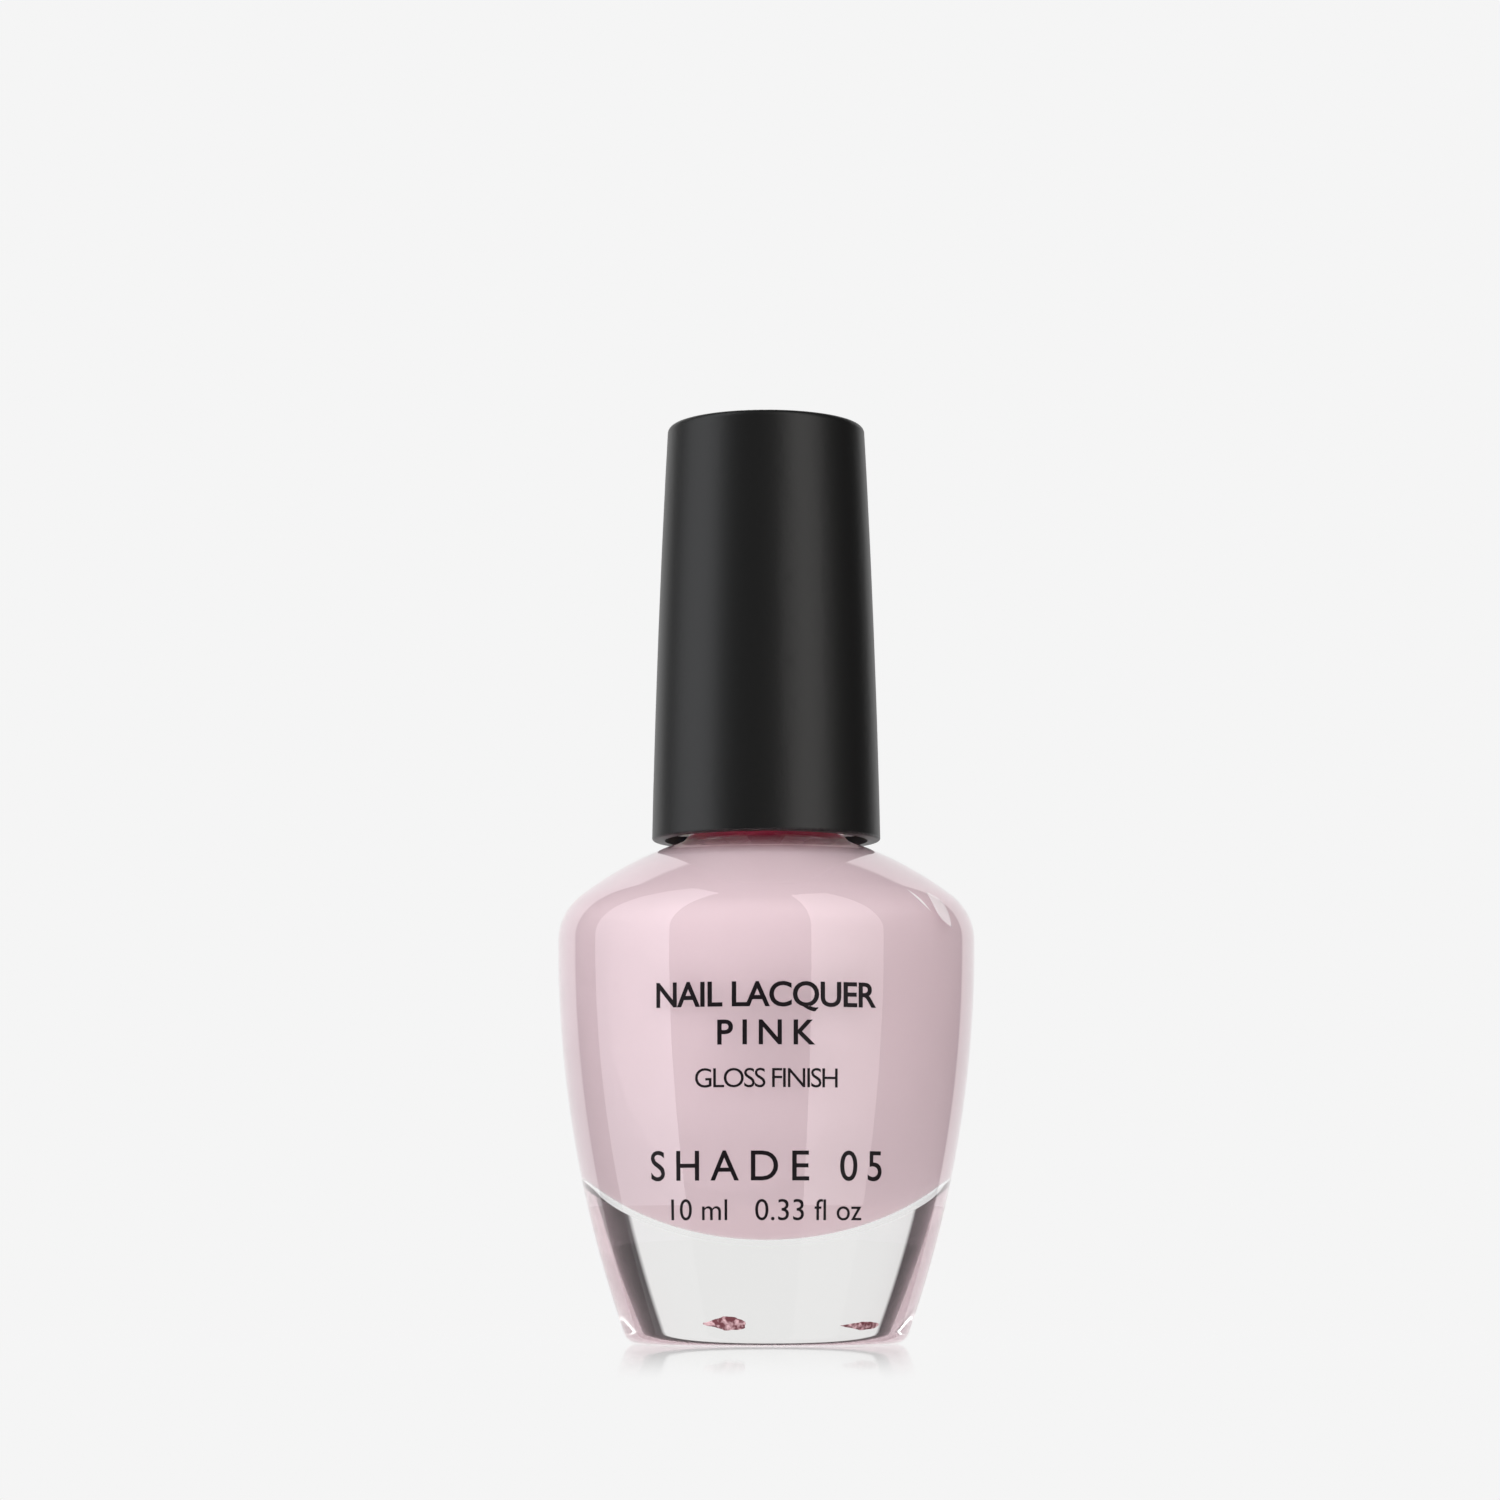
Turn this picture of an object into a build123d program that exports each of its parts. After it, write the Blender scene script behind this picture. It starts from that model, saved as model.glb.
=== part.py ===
"""Nail polish bottle: a round glass bottle of lacquer with two mixing balls,
closed by a threaded inner cap that carries the brush and a tall tapered overcap.

Frame: +Z up, origin at the centre of the glass foot. Millimetres. The cap is
screwed down until its liner seals on the top of the neck.
"""
from build123d import *
import math
import os

# ---- Glass body: driving sizes -------------------------------------------
BODY_DIAMETER = 31.0        # widest point of the glass, just under the shoulder
SHOULDER_START = 29.65      # height where the shoulder begins to turn in
WALL_BOW_RADIUS = 86.0      # the lower wall is one long arc, upright at the shoulder
HEEL_RADIUS = 1.1           # corner between the wall and the foot
FOOT_INSET = 2.9            # from the wall's foot to the edge of the push-up
PUSH_UP_DEPTH = 0.6         # hollow under the foot
SHOULDER_CORNER_RADIUS = 4.2
SHOULDER_CORNER_TURN = 52.0  # degrees that the corner turns before the dome begins
SHOULDER_DOME_END = 66.5    # degrees of turn where the dome passes under the cap's rim
GLASS_WALL = 1.9            # side wall and shoulder
FLOOR_THICKNESS = 8.35      # solid glass under the lacquer, at the middle
BOWL_STEP = 2.5             # the bowl's radius is this much under the inside radius
FLANK_RISE = 7.0            # height over which the bowl opens out to the upright wall

# ---- Neck finish, 13-415 --------------------------------------------------
THREAD_CREST_RADIUS = 6.5   # outside of the glass thread
THREAD_DEPTH = 0.8
THREAD_PITCH = 2.117        # 12 turns to the inch
THREAD_TURNS = 1.5
THREAD_CREST_WIDTH = 0.6
THREAD_FLANK_SLOPE = 0.36   # half-width gained per millimetre of depth
THREAD_BELOW_TOP = 5.9      # from the neck's top down to where the thread starts
THREAD_ROOTING = 0.15       # how far a thread is sunk into its wall
NECK_BORE_RADIUS = 3.5
NECK_ROOT_FILLET = 1.2      # outside, where the shoulder meets the neck
BORE_ENTRY_FILLET = 2.0     # inside, where the shoulder meets the bore
NECK_LIP_RADIUS = 0.4
FINISH_HEIGHT = 11.35       # from the shoulder under the cap's rim to the neck's top

# ---- Inner cap --------------------------------------------------------------
CAP_THREAD_CREST_WIDTH = 0.45
CAP_THREAD_DEPTH = 0.8
THREAD_RADIAL_GAP = 0.15    # crest to root, on both threads
THREAD_AXIAL_GAP = 0.05     # between the flanks that pull the cap down
INNER_CAP_WALL = 0.65
INNER_CAP_TOP = 1.0
RIB_COUNT = 24
RIB_HEIGHT = 0.26
RIB_WIDTH = 0.6
SKIRT_REACH = 9.6           # how far the skirt hangs below the neck's top
SOCKET_WALL = 1.5           # around the head of the wand
SOCKET_DEPTH = 7.0
LINER_THICKNESS = 1.0
LINER_EDGE_GAP = 0.25
LINER_HOLE_GAP = 0.4

# ---- Overcap ----------------------------------------------------------------
CAP_HEIGHT = 31.38
OVERCAP_WALL = 0.95         # at the rim
OVERCAP_BODY_WALL = 1.25    # above the inner cap
OVERCAP_TOP = 1.6
CAP_TAPER = 1.12            # radius lost from the rim to the top
CAP_BULGE = 0.13            # how far the side bows out of a straight cone
CAP_TOP_EDGE = 0.5
CAP_RIM_EDGE = 0.2
CAP_FIT_GAP = 0.02          # inside the overcap, over the ribs of the inner cap
CAP_TO_SHOULDER = 1.02
FIN_COUNT = 6               # fins inside the overcap that steady the wand's socket
FIN_THICKNESS = 0.8
FIN_GAP = 0.1
FIN_FOOT_GAP = 0.5

# ---- Brush ------------------------------------------------------------------
STEM_RADIUS = 1.5
STEM_TAPER = 0.2            # radius lost from the neck down to the stem's end
HEAD_STEP = 0.3             # the head is this much larger than the stem in radius
HEAD_TOP_GAP = 0.5
TUFT_HOLE_WALL = 0.4
TUFT_HOLE_DEPTH = 3.5
TUFT_LENGTH = 12.6          # bristles outside the stem
TUFT_WIDTH = 4.4
TUFT_THICKNESS = 2.6
TIP_ABOVE_BALLS = 0.6
STAPLE_THICKNESS = 0.35
STAPLE_HEIGHT = 0.7

# ---- Contents ---------------------------------------------------------------
BALL_DIAMETER = 4.0
BALL_GAP = 0.08             # between the balls' middle plane and each ball
BALL_FLOOR_GAP = 0.05
LACQUER_GAP = 0.2           # round the brush and the balls
LACQUER_ABOVE_SHOULDER = 1.2  # lacquer level above the shoulder's edge, in the neck

# ---- Heights and radii that follow -----------------------------------------
body_radius = BODY_DIAMETER / 2
ball_radius = BALL_DIAMETER / 2
thread_root_radius = THREAD_CREST_RADIUS - THREAD_DEPTH
skirt_bore_radius = THREAD_CREST_RADIUS + THREAD_RADIAL_GAP
cap_thread_crest_radius = skirt_bore_radius - CAP_THREAD_DEPTH
skirt_radius = skirt_bore_radius + INNER_CAP_WALL
rib_tip_radius = skirt_radius + RIB_HEIGHT
overcap_bore_radius = rib_tip_radius + CAP_FIT_GAP
cap_rim_radius = overcap_bore_radius + OVERCAP_WALL
cap_top_radius = cap_rim_radius - CAP_TAPER


def on_circle(center, radius, degrees):
    """The point of a circle in the (radius, height) plane at an angle from outwards."""
    turn = math.radians(degrees)
    return (center[0] + radius * math.cos(turn), center[1] + radius * math.sin(turn))


# Shoulder: a corner arc, then a wide dome that is tangent to it and reaches the
# radius of the cap's rim at SHOULDER_DOME_END.
corner_center = (body_radius - SHOULDER_CORNER_RADIUS, SHOULDER_START)
corner_end = on_circle(corner_center, SHOULDER_CORNER_RADIUS, SHOULDER_CORNER_TURN)
dome_radius = (corner_end[0] - cap_rim_radius) / (
    math.cos(math.radians(SHOULDER_CORNER_TURN)) - math.cos(math.radians(SHOULDER_DOME_END)))
dome_center = on_circle(corner_end, -dome_radius, SHOULDER_CORNER_TURN)
shoulder_edge = on_circle(dome_center, dome_radius, SHOULDER_DOME_END)[1]

neck_top = shoulder_edge + FINISH_HEIGHT
cap_bottom = shoulder_edge + CAP_TO_SHOULDER
cap_top = cap_bottom + CAP_HEIGHT
plate_bottom = neck_top + LINER_THICKNESS
plate_top = plate_bottom + INNER_CAP_TOP
socket_top = plate_top + SOCKET_DEPTH
lacquer_top = shoulder_edge + LACQUER_ABOVE_SHOULDER

inside_radius = body_radius - GLASS_WALL
bowl_radius = inside_radius - BOWL_STEP
bowl_center = FLOOR_THICKNESS + bowl_radius
flank_top = bowl_center + FLANK_RISE
# An arc tangent to the bowl that ends upright at the inside wall leaves the bowl
# at this angle from straight down.
bowl_turn = 2 * math.degrees(math.atan(FLANK_RISE / BOWL_STEP)) - 90

ball_offset = ball_radius + BALL_GAP
ball_reach = bowl_radius - ball_radius - BALL_FLOOR_GAP
ball_height = bowl_center - math.sqrt(ball_reach ** 2 - ball_offset ** 2)
recess_radius = ball_offset + ball_radius + LACQUER_GAP
recess_top = ball_height + ball_radius + LACQUER_GAP
tuft_tip = ball_height + ball_radius + TIP_ABOVE_BALLS
stem_end = tuft_tip + TUFT_LENGTH
stem_end_radius = STEM_RADIUS - STEM_TAPER
tuft_root_radius = stem_end_radius - TUFT_HOLE_WALL
tuft_root_top = stem_end + TUFT_HOLE_DEPTH
head_radius = STEM_RADIUS + HEAD_STEP
socket_radius = head_radius + SOCKET_WALL
brush_bore_radius = TUFT_WIDTH / 2 + LACQUER_GAP


def lathe(edges, rounded=()):
    """Turns a closed outline in the (radius, height) plane about Z.

    rounded holds (point, radius) pairs for the corners to round first."""
    face = make_face(edges)
    for point, radius in rounded:
        corner = face.vertices().sort_by_distance(point)[0]
        face = fillet([corner], radius)
    return revolve(Plane.XZ * face, Axis.Z)


def polygon(*points):
    return Polyline(*points, close=True).edges()


def tube(outer, inner, bottom, top):
    return lathe(polygon((inner, bottom), (outer, bottom), (outer, top), (inner, top)))


def disc(radius, bottom, top):
    return lathe(polygon((0, bottom), (radius, bottom), (radius, top), (0, top)))


def arc(start, end, center, radius, middle_degrees):
    """An arc named by its ends and the angle of its middle point."""
    return ThreePointArc(start, on_circle(center, radius, middle_degrees), end)


def thread_ridge(wall_radius, depth, crest_width, start, outwards):
    """A right-hand ridge on a wall: start is the height of its first middle."""
    side = 1 if outwards else -1
    foot = -side * THREAD_ROOTING
    crest = side * depth
    half_crest = crest_width / 2
    half_foot = half_crest + (depth + THREAD_ROOTING) * THREAD_FLANK_SLOPE
    path = Helix(THREAD_PITCH, THREAD_PITCH * THREAD_TURNS, wall_radius, center=(0, 0, start))
    section = Plane(origin=path @ 0, x_dir=(1, 0, 0), z_dir=path % 0)
    ridge = Polyline((foot, -half_foot), (crest, -half_crest), (crest, half_crest),
                     (foot, half_foot), close=True)
    return sweep(section * make_face(ridge), path, is_frenet=True)


def shoulder_arcs(inset):
    """Corner and dome of the shoulder, moved in by inset, and where the dome ends.

    The dome is carried in to the neck's wall outside, or to its bore inside."""
    corner_radius = SHOULDER_CORNER_RADIUS - inset
    radius = dome_radius - inset
    neck_radius = NECK_BORE_RADIUS if inset else thread_root_radius
    end_turn = math.degrees(math.acos((neck_radius - dome_center[0]) / radius))
    start = (body_radius - inset, SHOULDER_START)
    middle = on_circle(corner_center, corner_radius, SHOULDER_CORNER_TURN)
    end = on_circle(dome_center, radius, end_turn)
    half_turn = (SHOULDER_CORNER_TURN + end_turn) / 2
    corner = arc(start, middle, corner_center, corner_radius, SHOULDER_CORNER_TURN / 2)
    return corner, arc(middle, end, dome_center, radius, half_turn), end


def cavity():
    """The space inside the glass, up through the neck and past its top."""
    above = neck_top + 1
    turn = bowl_turn - 90
    bowl = (0, bowl_center)
    bowl_end = on_circle(bowl, bowl_radius, turn)
    flank_radius = (inside_radius - bowl_end[0]) / (1 - math.cos(math.radians(turn)))
    flank = (inside_radius - flank_radius, flank_top)
    corner, dome, dome_end = shoulder_arcs(GLASS_WALL)
    edges = [
        arc((0, FLOOR_THICKNESS), bowl_end, bowl, bowl_radius, (turn - 90) / 2),
        arc(bowl_end, (inside_radius, flank_top), flank, flank_radius, turn / 2),
        Line((inside_radius, flank_top), (inside_radius, SHOULDER_START)),
        corner,
        dome,
        Line(dome_end, (NECK_BORE_RADIUS, above)),
        Line((NECK_BORE_RADIUS, above), (0, above)),
        Line((0, above), (0, FLOOR_THICKNESS)),
    ]
    return lathe(edges, [(dome_end, BORE_ENTRY_FILLET)])


def glass_bottle(inside):
    wall_center = (body_radius - WALL_BOW_RADIUS, SHOULDER_START)
    foot_turn = -math.degrees(math.asin(SHOULDER_START / WALL_BOW_RADIUS))
    foot = on_circle(wall_center, WALL_BOW_RADIUS, foot_turn)
    push_up_edge = foot[0] - FOOT_INSET
    push_up_radius = (push_up_edge ** 2 + PUSH_UP_DEPTH ** 2) / (2 * PUSH_UP_DEPTH)
    push_up = (0, PUSH_UP_DEPTH - push_up_radius)
    edge_turn = math.degrees(math.acos(push_up_edge / push_up_radius))
    corner, dome, dome_end = shoulder_arcs(0)
    edges = [
        arc((0, PUSH_UP_DEPTH), (push_up_edge, 0), push_up, push_up_radius, (90 + edge_turn) / 2),
        Line((push_up_edge, 0), foot),
        arc(foot, (body_radius, SHOULDER_START), wall_center, WALL_BOW_RADIUS, foot_turn / 2),
        corner,
        dome,
        Line(dome_end, (thread_root_radius, neck_top)),
        Line((thread_root_radius, neck_top), (0, neck_top)),
        Line((0, neck_top), (0, PUSH_UP_DEPTH)),
    ]
    rounded = [
        (foot, HEEL_RADIUS),
        (dome_end, NECK_ROOT_FILLET),
        ((thread_root_radius, neck_top), NECK_LIP_RADIUS),
    ]
    thread = thread_ridge(thread_root_radius, THREAD_DEPTH, THREAD_CREST_WIDTH,
                          neck_top - THREAD_BELOW_TOP, True)
    return lathe(edges, rounded) + thread - inside


def polish_fill(inside):
    body = inside & disc(body_radius, 0, lacquer_top)
    recess = disc(recess_radius, 0, recess_top)
    return body - recess - disc(brush_bore_radius, recess_top - 1, lacquer_top + 1)


def mixing_ball(side):
    return Pos(side * ball_offset, 0, ball_height) * Sphere(ball_radius)


def inner_cap():
    bottom = neck_top - SKIRT_REACH
    shell = tube(skirt_radius, skirt_bore_radius, bottom, plate_top)
    plate = tube(skirt_radius, head_radius, plate_bottom, plate_top)
    socket = tube(socket_radius, head_radius, plate_top, socket_top)
    length = plate_top - bottom - 1
    rib = Box(2 * RIB_HEIGHT, RIB_WIDTH, length)
    # Half of each rib's box is sunk into the skirt.
    ribs = PolarLocations(skirt_radius, RIB_COUNT)
    body = shell + plate + socket
    for place in ribs:
        body += Pos(0, 0, bottom + length / 2) * place * rib
    # The cap's ridge hangs just below the neck's ridge, so it pulls the cap down.
    reach = (THREAD_CREST_RADIUS - cap_thread_crest_radius) * THREAD_FLANK_SLOPE
    drop = (THREAD_CREST_WIDTH + CAP_THREAD_CREST_WIDTH) / 2 + reach + THREAD_AXIAL_GAP
    start = neck_top - THREAD_BELOW_TOP - drop
    ridge = thread_ridge(skirt_bore_radius, CAP_THREAD_DEPTH, CAP_THREAD_CREST_WIDTH, start, False)
    return body + ridge


def seal_liner():
    outer = skirt_bore_radius - LINER_EDGE_GAP
    return tube(outer, STEM_RADIUS + LINER_HOLE_GAP, neck_top, plate_bottom)


def overcap():
    middle = ((cap_rim_radius + cap_top_radius) / 2 + CAP_BULGE, (cap_bottom + cap_top) / 2)
    rim = (cap_rim_radius, cap_bottom)
    edge = (cap_top_radius, cap_top)
    ceiling = cap_top - OVERCAP_TOP
    step_share = (plate_top - cap_bottom) / CAP_HEIGHT
    step_radius = cap_rim_radius - CAP_TAPER * step_share - OVERCAP_BODY_WALL
    ceiling_radius = cap_top_radius - OVERCAP_BODY_WALL
    edges = [
        Line((overcap_bore_radius, cap_bottom), rim),
        ThreePointArc(rim, middle, edge),
        Line(edge, (0, cap_top)),
        Line((0, cap_top), (0, ceiling)),
        Line((0, ceiling), (ceiling_radius, ceiling)),
        Line((ceiling_radius, ceiling), (step_radius, plate_top)),
        Line((step_radius, plate_top), (overcap_bore_radius, plate_top)),
        Line((overcap_bore_radius, plate_top), (overcap_bore_radius, cap_bottom)),
    ]
    shell = lathe(edges, [(edge, CAP_TOP_EDGE), (rim, CAP_RIM_EDGE)])
    fin_bottom = plate_top + FIN_FOOT_GAP
    fin_height = socket_top - fin_bottom
    fin_inner = socket_radius + FIN_GAP
    fin_length = step_radius + OVERCAP_BODY_WALL / 2 - fin_inner
    fin = Box(fin_length, FIN_THICKNESS, fin_height)
    for place in PolarLocations(fin_inner + fin_length / 2, FIN_COUNT):
        shell += Pos(0, 0, fin_bottom + fin_height / 2) * place * fin
    return shell


def brush_wand():
    head_top = socket_top - HEAD_TOP_GAP
    stem = lathe(polygon(
        (0, stem_end), (stem_end_radius, stem_end), (STEM_RADIUS, neck_top),
        (STEM_RADIUS, plate_bottom), (head_radius, plate_bottom), (head_radius, head_top),
        (0, head_top)))
    return stem - disc(tuft_root_radius, stem_end - 1, tuft_root_top)


def staple_bar(length):
    return Pos(0, 0, tuft_root_top - STAPLE_HEIGHT) * Box(length, STAPLE_THICKNESS, STAPLE_HEIGHT)


def tuft_staple():
    """A flat strip across the hole in the stem, its corners against the hole's wall."""
    return staple_bar(2 * math.sqrt(tuft_root_radius ** 2 - (STAPLE_THICKNESS / 2) ** 2))


def bristle_tuft():
    """The bundle of bristles as one closed shape, folded over the staple at its root."""
    half_width = TUFT_WIDTH / 2
    half_thickness = TUFT_THICKNESS / 2
    # Half-widths of the bundle from its rounded tip up to the stem's end, each with
    # its share of the way up.
    stations = [
        (0.0, 0.5 * half_width, 0.4 * half_thickness),
        (0.05, 0.85 * half_width, 0.8 * half_thickness),
        (0.15, half_width, half_thickness),
        (0.55, 0.8 * half_width, 0.85 * half_thickness),
        (1.0, tuft_root_radius, tuft_root_radius),
    ]
    sections = [Pos(0, 0, tuft_tip + share * TUFT_LENGTH) * Ellipse(wide, thick)
                for share, wide, thick in stations]
    root = disc(tuft_root_radius, stem_end, tuft_root_top)
    fold = staple_bar(3 * tuft_root_radius)
    return (loft(sections) + root) - fold


def write(name, shape):
    export_step(shape, os.path.join("parts", name + ".step"))


os.makedirs("parts", exist_ok=True)
inside = cavity()
pieces = {
    "glass_bottle": glass_bottle(inside),
    "polish_fill": polish_fill(inside),
    "mixing_ball_a": mixing_ball(-1),
    "mixing_ball_b": mixing_ball(1),
    "inner_cap": inner_cap(),
    "overcap": overcap(),
    "seal_liner": seal_liner(),
    "brush_wand": brush_wand(),
    "tuft_staple": tuft_staple(),
    "bristle_tuft": bristle_tuft(),
}
for name, shape in pieces.items():
    write(name, shape)

neck_part = disc(body_radius, neck_top, neck_top + 2)
print(f"height {cap_top:.2f} mm, neck top {neck_top:.2f} mm, tuft tip {tuft_tip:.2f} mm")
print(f"cap rim {2 * cap_rim_radius:.2f} mm across, cap top {2 * cap_top_radius:.2f} mm")
print(f"brimful {(inside - neck_part).volume / 1000:.2f} ml, lacquer "
      f"{pieces['polish_fill'].volume / 1000:.2f} ml")
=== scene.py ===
# %% [markdown]
# # A bottle of nail polish
#
# A heavy-based glass bottle full of opaque pink lacquer, with a tall black cap
# that carries the brush. The CAD model is loaded as a fixed frame. This lesson
# gives its pieces their finish, and remakes the ones whose surface has to be
# smoother than CAD triangles: glass bends what is behind it, so each flat
# triangle would show.

# %% Load the frame
import math

import bmesh
import bpy
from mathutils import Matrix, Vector


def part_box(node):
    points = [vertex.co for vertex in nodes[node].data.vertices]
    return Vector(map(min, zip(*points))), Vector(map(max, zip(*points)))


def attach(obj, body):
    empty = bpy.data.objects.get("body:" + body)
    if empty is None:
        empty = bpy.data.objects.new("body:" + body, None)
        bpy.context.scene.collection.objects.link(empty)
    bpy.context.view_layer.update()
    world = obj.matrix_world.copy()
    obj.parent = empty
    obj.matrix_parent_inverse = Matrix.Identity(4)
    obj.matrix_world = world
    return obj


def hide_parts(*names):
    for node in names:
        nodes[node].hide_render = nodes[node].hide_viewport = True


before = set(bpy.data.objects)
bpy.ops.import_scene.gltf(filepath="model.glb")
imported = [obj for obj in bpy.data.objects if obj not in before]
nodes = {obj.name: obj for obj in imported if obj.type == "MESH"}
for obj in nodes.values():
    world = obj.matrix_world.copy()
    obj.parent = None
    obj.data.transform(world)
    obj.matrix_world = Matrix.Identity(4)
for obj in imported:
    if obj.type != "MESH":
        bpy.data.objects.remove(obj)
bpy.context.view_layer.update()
MM = 0.001
print("CAD nodes:", ", ".join(sorted(nodes)))

# %% [markdown]
# ## Two helpers for materials
#
# Paint and ink colours are quoted as sRGB hex values. Blender mixes light in
# linear values, so one function turns the first into the second. The other
# helper adds a node, sets it up and links it, which keeps each material short.

# %% Colour and node helpers


def linear(hex_colour):
    """sRGB hex such as "DDBFC8" as linear red, green, blue and alpha."""
    channels = [int(hex_colour[i:i + 2], 16) / 255 for i in (0, 2, 4)]
    return (*[c / 12.92 if c <= 0.04045 else ((c + 0.055) / 1.055) ** 2.4 for c in channels], 1)


def add(tree, kind, settings=None, **links):
    """Adds a node. settings are its own values or its sockets' values, links its sockets' sources."""
    node = tree.nodes.new(kind)
    for name, value in (settings or {}).items():
        if isinstance(name, int) or name in node.inputs:
            node.inputs[name].default_value = value
        else:
            setattr(node, name, value)
    for name, source in links.items():
        socket = node.inputs[int(name[1:])] if name[1:].isdigit() else node.inputs[name.replace("_", " ")]
        tree.links.new(source, socket)
    return node


def material(name, settings, build=None):
    """A material with one Principled shader. build may add nodes that feed it."""
    made = bpy.data.materials.new(name)
    made.use_nodes = True
    shader = made.node_tree.nodes["Principled BSDF"]
    for socket, value in settings.items():
        shader.inputs[socket].default_value = value
    if build:
        build(made.node_tree, shader)
    return made


print("Helpers ready; mid grey is", round(linear("808080")[0], 3))

# %% [markdown]
# ## Camera
#
# The camera stands just above the table, 310 mm in front of the bottle, and
# looks up by seven degrees. That is why the cap's top shows as an arch and the
# rim's underside can be seen.

# %% Camera
CAMERA_DISTANCE = 310 * MM
CAMERA_HEIGHT = 6.6 * MM
CAMERA_PITCH = math.radians(6.883)
CAMERA_YAW = math.radians(0.224)

camera_data = bpy.data.cameras.new("camera")
camera_data.lens = 100
camera_data.sensor_width = 36
camera_data.clip_start = 0.01
camera_data.clip_end = 20
camera = bpy.data.objects.new("camera", camera_data)
camera.location = (0, -CAMERA_DISTANCE, CAMERA_HEIGHT)
camera.rotation_euler = (math.pi / 2 + CAMERA_PITCH, 0, CAMERA_YAW)
bpy.context.scene.collection.objects.link(camera)
bpy.context.scene.camera = camera
print("Camera at", [round(v / MM, 1) for v in camera.location])

# %% [markdown]
# ## Studio
#
# Product photographers light glass by what it mirrors and bends. A white
# backdrop behind the bottle fills the clear base with light, and the dark room
# to its sides draws the dark bands at the base's edges. Two tall softboxes give
# the upright highlights: a wide one at the left and a narrow one at the right.
# Large silks, the fills, lift the rest without a mirror image of their own.
# The world stands in for the backdrop and the room, so that nothing has to be
# moved when the bottle is looked at from another side.

# %% World
BACKDROP = linear("F5F5F5")
ROOM_LEVEL = 0.045
SWEEP_HEIGHT = math.radians(3)      # elevation of the middle of the white sweep
SWEEP_TURN = math.radians(-3.5)     # its azimuth from straight behind, positive to the right
SWEEP_FULL = math.cos(math.radians(44.5))
SWEEP_EDGE = math.cos(math.radians(47))

world = bpy.data.worlds.new("studio")
bpy.context.scene.world = world
world.use_nodes = True
tree = world.node_tree
tree.nodes.clear()
direction = add(tree, "ShaderNodeTexCoord")
level_reach = math.cos(SWEEP_HEIGHT)
sweep_middle = (level_reach * math.sin(SWEEP_TURN), level_reach * math.cos(SWEEP_TURN),
                math.sin(SWEEP_HEIGHT))
toward_sweep = add(tree, "ShaderNodeVectorMath", {
    "operation": "DOT_PRODUCT", 1: sweep_middle},
    _0=direction.outputs["Generated"])
sweep = add(tree, "ShaderNodeMapRange", {"From Min": SWEEP_EDGE, "From Max": SWEEP_FULL},
            Value=toward_sweep.outputs["Value"])
path = add(tree, "ShaderNodeLightPath")
white_share = add(tree, "ShaderNodeMath", {"operation": "MAXIMUM"},
                  _0=sweep.outputs["Result"], _1=path.outputs["Is Camera Ray"])
colour = add(tree, "ShaderNodeMixRGB", {"Color1": (*[ROOM_LEVEL] * 3, 1), "Color2": BACKDROP},
             Fac=white_share.outputs["Value"])
background = add(tree, "ShaderNodeBackground", Color=colour.outputs["Color"])
add(tree, "ShaderNodeOutputWorld", Surface=background.outputs["Background"])
bpy.context.scene.view_settings.view_transform = "Standard"
print("White sweep centred", round(math.degrees(SWEEP_HEIGHT)), "degrees up behind the bottle")

# %% Softboxes
# name: (azimuth from the camera's side, positive to the right, distance along the floor,
# height, width, length, radiance at its edge nearest the camera and at the far edge, tint)
SOFTBOXES = {
    "left_softbox": (-80, 0.40, 0.05, 0.40, 2.2, 1.8, 0.95, "FBFCFF"),
    "right_softbox": (45, 0.45, 0.05, 0.345, 2.2, 1.75, 1.25, "FFFCFA"),
    "front_fill": (-14, 0.80, -0.10, 1.30, 1.4, 1.8, 1.8, "FFFFFF"),
    "top_fill": (-10, 0.45, 0.80, 1.00, 1.0, 2.6, 2.6, "FFFFFF"),
    "back_fill": (172, 0.80, 0.15, 1.00, 1.0, 3.5, 3.5, "FFFFFF"),
}
AIM = Vector((0, 0, 0.05))


def lamp_radiance(data, camera_side, far_side, flip):
    """Lets the lamp's light fall off across its width."""
    data.use_nodes = True
    tree = data.node_tree
    place = add(tree, "ShaderNodeNewGeometry")
    across = add(tree, "ShaderNodeSeparateXYZ", Vector=place.outputs["Parametric"])
    ends = (camera_side, far_side) if flip else (far_side, camera_side)
    level = add(tree, "ShaderNodeMapRange", {"To Min": ends[0], "To Max": ends[1]},
                Value=across.outputs["X"])
    tree.links.new(level.outputs["Result"], tree.nodes["Emission"].inputs["Strength"])


for name, (azimuth, distance, above, width, length, near, far, tint) in SOFTBOXES.items():
    data = bpy.data.lights.new(name, "AREA")
    data.shape = "RECTANGLE"
    data.size = width
    data.size_y = length
    # A flat lamp of radiance L and area A gives out pi * L * A watts.
    data.energy = math.pi * width * length
    data.color = linear(tint)[:3]
    lamp_radiance(data, near, far, azimuth > 0)
    lamp = bpy.data.objects.new(name, data)
    turn = math.radians(azimuth)
    lamp.location = (distance * math.sin(turn), -distance * math.cos(turn), above)
    lamp.rotation_euler = (lamp.location - AIM).to_track_quat("Z", "Y").to_euler()
    lamp.visible_camera = False
    # The fills are large silks, whose own mirror images are too faint to see.
    lamp.visible_glossy = "fill" not in name
    # The one behind must not shine through the clear foot.
    lamp.visible_transmission = name != "back_fill"
    bpy.context.scene.collection.objects.link(lamp)
    print(name, "radiance", near, "to", far)

# %% [markdown]
# ## Table
#
# The bottle stands on a lit white acrylic table: it glows evenly, so it meets
# the backdrop with no horizon, and its satin surface gives a short faint
# reflection of the glass.

# %% Table
TABLE_SHEEN = 0.6
SHEEN_NEAR = 12 * MM
SHEEN_FAR = 95 * MM


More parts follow.
